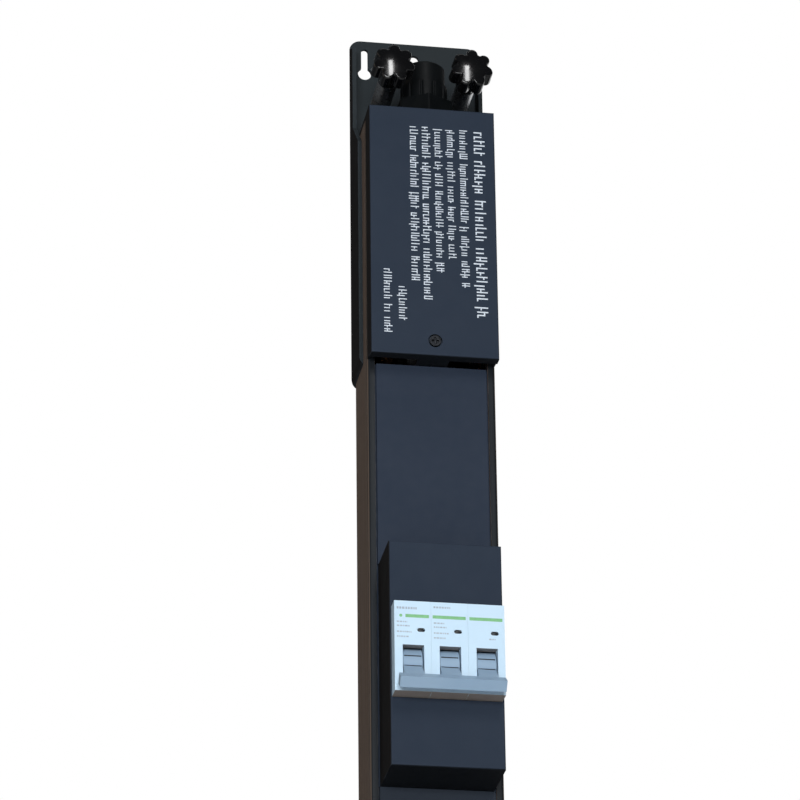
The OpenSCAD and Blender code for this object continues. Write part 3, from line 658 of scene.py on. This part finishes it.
def make_levers():
    """The three levers with rounded edges, and low cross ribs on their drums, dark with painted shade.
    """
    finished("toggle_levers", TOGGLE, "toggle", 0.4 * MM)
    half_width = 4.1 * MM
    drum = 8.6 * MM
    rise = 0.16 * MM
    half_turn = 2.4
    steps = [k / 4 for k in range(-4, 5)]
    bm = bmesh.new()
    for pole_low, pole_high in pole_boxes:
        mid = (pole_low.x + pole_high.x) / 2
        for turn in (-20, 15):
            rows = []
            for t in steps:
                a = math.radians(turn + t * half_turn)
                r = drum + rise * math.cos(t * math.pi / 2)
                rows.append((toggle_axis.y - r * math.cos(a), toggle_axis.z - r * math.sin(a)))
            for (y0, z0), (y1, z1) in zip(rows, rows[1:]):
                v = [bm.verts.new((mid + s * half_width, y, z))
                     for s, y, z in ((-1, y0, z0), (1, y0, z0), (1, y1, z1), (-1, y1, z1))]
                bm.faces.new(v)
    bmesh.ops.remove_doubles(bm, verts=bm.verts, dist=0.001 * MM)
    # The ribs' dark colour is painted shade, lines across the drums.
    new_piece("toggle_shade_ribs", mesh_from(bm, "toggle_shade_ribs", 60), WINDOW_AND_SHADE_DARK, "toggle")


INK_LIFT = 0.035 * MM
INK_ROOT = 0.02 * MM


def flat_decal(bm, x0, x1, z0, z1):
    """A thin block of ink on the noses' front."""
    add_block(bm, (x0, nose_front - INK_LIFT, z0), (x1, nose_front + INK_ROOT, z1))


def round_decal(bm, x, z, radius):
    rings = [oval_points(x, z, radius, radius, y, 20)
             for y in (nose_front + INK_ROOT, nose_front - INK_LIFT)]
    add_rings(bm, rings)


def make_window(bm, x, z):
    """A small dark oval recess."""
    steps = ((1.85, 0.90, 0.75), (1.80, 0.86, 0.35), (1.20, 0.50, 0.20))
    add_rings(bm, [oval_points(x, z, w * MM, h * MM, nose_front + depth * MM) for w, h, depth in steps])


# Rows of print on each pole: how far below the nose's top, how tall and how long, in mm
PRINT_ROWS = [
    [(3.6, 1.1, 9.5), (10.6, 0.7, 5.0), (12.6, 0.7, 6.0), (15.6, 0.7, 7.0), (18.0, 0.7, 5.5)],
    [(2.6, 0.9, 8.0), (10.6, 0.7, 5.0), (12.6, 0.7, 6.0), (15.6, 0.7, 7.0), (18.0, 0.7, 5.5)],
    [(17.4, 0.7, 3.0)],
]
PRINT_INSETS = [1.2 * MM, 1.2 * MM, 10.0 * MM]


def make_breaker_print():
    """Stripes, faint print and small dark windows on the noses of the poles."""
    dice = random.Random(11)
    green = bmesh.new()
    grey = bmesh.new()
    windows = bmesh.new()
    stripe_z = nose_top - 7.5 * MM
    stripe_half = 0.8 * MM
    window_z = nose_top - 14.4 * MM
    word_gap = 0.35 * MM
    for index, (low, high) in enumerate(pole_boxes):
        left = low.x
        mid = (low.x + high.x) / 2
        start = left + (5.3 if index == 0 else 0.7) * MM
        flat_decal(green, start, high.x - 1.0 * MM, stripe_z - stripe_half, stripe_z + stripe_half)
        if index == 0:
            round_decal(green, left + 3.1 * MM, stripe_z, 0.75 * MM)
        make_window(windows, mid + 4 * MM, window_z)
        for down, tall, run in PRINT_ROWS[index]:
            z = nose_top - down * MM
            half = tall / 2 * MM
            x = left + PRINT_INSETS[index]
            end = x + run * MM
            while x < end:
                word = dice.uniform(0.5, 1.3) * MM
                flat_decal(grey, x, min(x + word, end), z - half, z + half)
                x += word + word_gap
    new_piece("pole_stripes", mesh_from(green, "pole_stripes"), GREEN_INK, "strip")
    new_piece("pole_print", mesh_from(grey, "pole_print"), GREY_INK, "strip")
    new_piece("pole_windows", mesh_from(windows, "pole_windows", 60), WINDOW_AND_SHADE_DARK, "strip")


# ---- Inside ----

def islands(bm):
    """The faces of a mesh in groups that touch each other."""
    left = set(bm.faces)
    groups = []
    while left:
        seed = left.pop()
        group = {seed}
        front = [seed]
        while front:
            face = front.pop()
            for edge in face.edges:
                for other in edge.link_faces:
                    if other in left:
                        left.discard(other)
                        group.add(other)
                        front.append(other)
        groups.append(group)
    return groups


def top_left(group):
    """The lowest x of a wire's upper end."""
    points = [v.co for face in group for v in face.verts]
    top = max(point.z for point in points)
    return min(point.x for point in points if point.z > top - 0.1 * MM)


def make_wires(node, colors):
    """One piece for each wire of a node, each in its own colour."""
    source = clean_copy(node)
    for index, group in enumerate(sorted(islands(source), key=top_left)):
        bm = bmesh.new()
        made = {}
        for face in group:
            for v in face.verts:
                if v not in made:
                    made[v] = bm.verts.new(v.co)
            bm.faces.new([made[v] for v in face.verts])
        color_name, color = colors[index % len(colors)]
        name = f"{node}_{color_name}"
        piece = new_piece(name, mesh_from(bm, name), insulation(name, color), "strip")
        if index == 0:
            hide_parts(node)
    source.free()


def make_inside():
    finished("terminal_block", BLOCK, "strip", 0.4 * MM)
    for node in ("terminal_clamps", "earth_hardware", "breaker_terminals"):
        finished(node, BRASS, "strip", 0.15 * MM)
    for node in ("terminal_screws", "rail_screws"):
        finished(node, ZINC, "strip", 0.1 * MM)
    finished("din_rail", ZINC, "strip", 0.2 * MM)
    painted("breaker_mechanism", ZINC)
    for n in (1, 2, 3):
        finished(f"outlet_contacts_{n}", BRASS, "strip", 0.15 * MM)
    for node in ("neutral_bar", "earth_bar", "line_bars"):
        finished(node, COPPER, "strip", 0.2 * MM)
    phases = [("brown", (0.10, 0.045, 0.02)), ("black", (0.01, 0.01, 0.01)), ("grey", (0.2, 0.2, 0.21)),
              ("blue", (0.02, 0.08, 0.35)), ("green", (0.05, 0.22, 0.06))]
    make_wires("supply_wires", phases)
    make_wires("output_wires", phases[:3])


# ---- Floor, light and camera ----

def make_floor():
    paint = Paint("pale_floor", (0.80, 0.80, 0.79), 0.6)
    paint.tint(paint.ramp(paint.noise(0.5, 3.0), 0.35, 0.7, 0.0, 0.3), (0.84, 0.84, 0.83))
    paint.bump(paint.noise(0.02, 3.0), 0.2 * MM, 0.1)
    size = 14.0
    bm = bmesh.new()
    bmesh.ops.create_grid(bm, x_segments=8, y_segments=8, size=size / 2)
    floor = bpy.data.objects.new("floor", mesh_from(bm, "floor"))
    floor.data.materials.append(paint.material)
    floor.location = (0, 0, cad_low.z - 0.004)
    bpy.context.scene.collection.objects.link(floor)


def area_light(name, place, target, size, power, color=(1, 1, 1)):
    data = bpy.data.lights.new(name, "AREA")
    data.shape = "RECTANGLE"
    data.size, data.size_y = size
    data.energy = power
    data.color = color
    lamp = bpy.data.objects.new(name, data)
    lamp.location = place
    lamp.rotation_mode = "QUATERNION"
    lamp.rotation_quaternion = (Vector(target) - Vector(place)).to_track_quat("-Z", "Y")
    bpy.context.scene.collection.objects.link(lamp)


def make_light():
    """A hard-edged strip for the knobs' streaks, a big soft key, and fills on every other side."""
    aim = (0, -0.04, -0.25)
    top_end = (0, -0.06, 0)
    area_light("tall_strip", (0.10, -1.95, 0.64), top_end, (0.17, 0.76), 9.5)
    area_light("key", (-0.56, -2.27, -0.42), aim, (1.4, 0.6), 40, (0.97, 0.99, 1.0))
    area_light("left_fill", (-1.9, 0.3, 0.1), aim, (0.5, 1.8), 3.5, (1.0, 0.84, 0.70))
    area_light("top_fill", (0.2, -0.5, 1.7), aim, (1.6, 1.0), 5)
    area_light("back_fill", (0.9, 1.8, 0.6), aim, (1.6, 1.6), 8)
    area_light("right_fill", (2.3, 0.5, -0.4), aim, (0.6, 1.8), 7)
    world = bpy.data.worlds.new("studio")
    bpy.context.scene.world = world
    world.use_nodes = True
    tree = world.node_tree
    soft = tree.nodes["Background"]
    soft.inputs["Color"].default_value = (0.86, 0.93, 1.0, 1.0)
    soft.inputs["Strength"].default_value = 0.065
    plain = tree.nodes.new("ShaderNodeBackground")
    plain.inputs["Color"].default_value = (1.0, 1.0, 1.0, 1.0)
    plain.inputs["Strength"].default_value = 1.0
    rays = tree.nodes.new("ShaderNodeLightPath")
    mix = tree.nodes.new("ShaderNodeMixShader")
    tree.links.new(rays.outputs["Is Camera Ray"], mix.inputs[0])
    tree.links.new(soft.outputs[0], mix.inputs[1])
    tree.links.new(plain.outputs[0], mix.inputs[2])
    tree.links.new(mix.outputs[0], tree.nodes["World Output"].inputs["Surface"])


def make_camera():
    data = bpy.data.cameras.new("camera")
    data.sensor_width = 36
    data.lens = 184.35
    data.dof.use_dof = False
    camera = bpy.data.objects.new("camera", data)
    yaw, rise, roll = math.radians(9.63), math.radians(24.706), math.radians(-0.675)
    look = Vector((math.sin(yaw) * math.cos(rise), math.cos(yaw) * math.cos(rise), math.sin(rise)))
    camera.location = (-0.3215, -1.8413, -1.0190)
    camera.rotation_mode = "QUATERNION"
    camera.rotation_quaternion = look.to_track_quat("-Z", "Y") @ Quaternion((0, 0, 1), roll)
    bpy.context.scene.collection.objects.link(camera)
    bpy.context.scene.camera = camera
    bpy.context.scene.view_settings.view_transform = "Standard"


make_camera()
make_light()
make_floor()
make_shell()
make_marks()
make_fixings()
make_gland()
make_breaker()
make_inside()
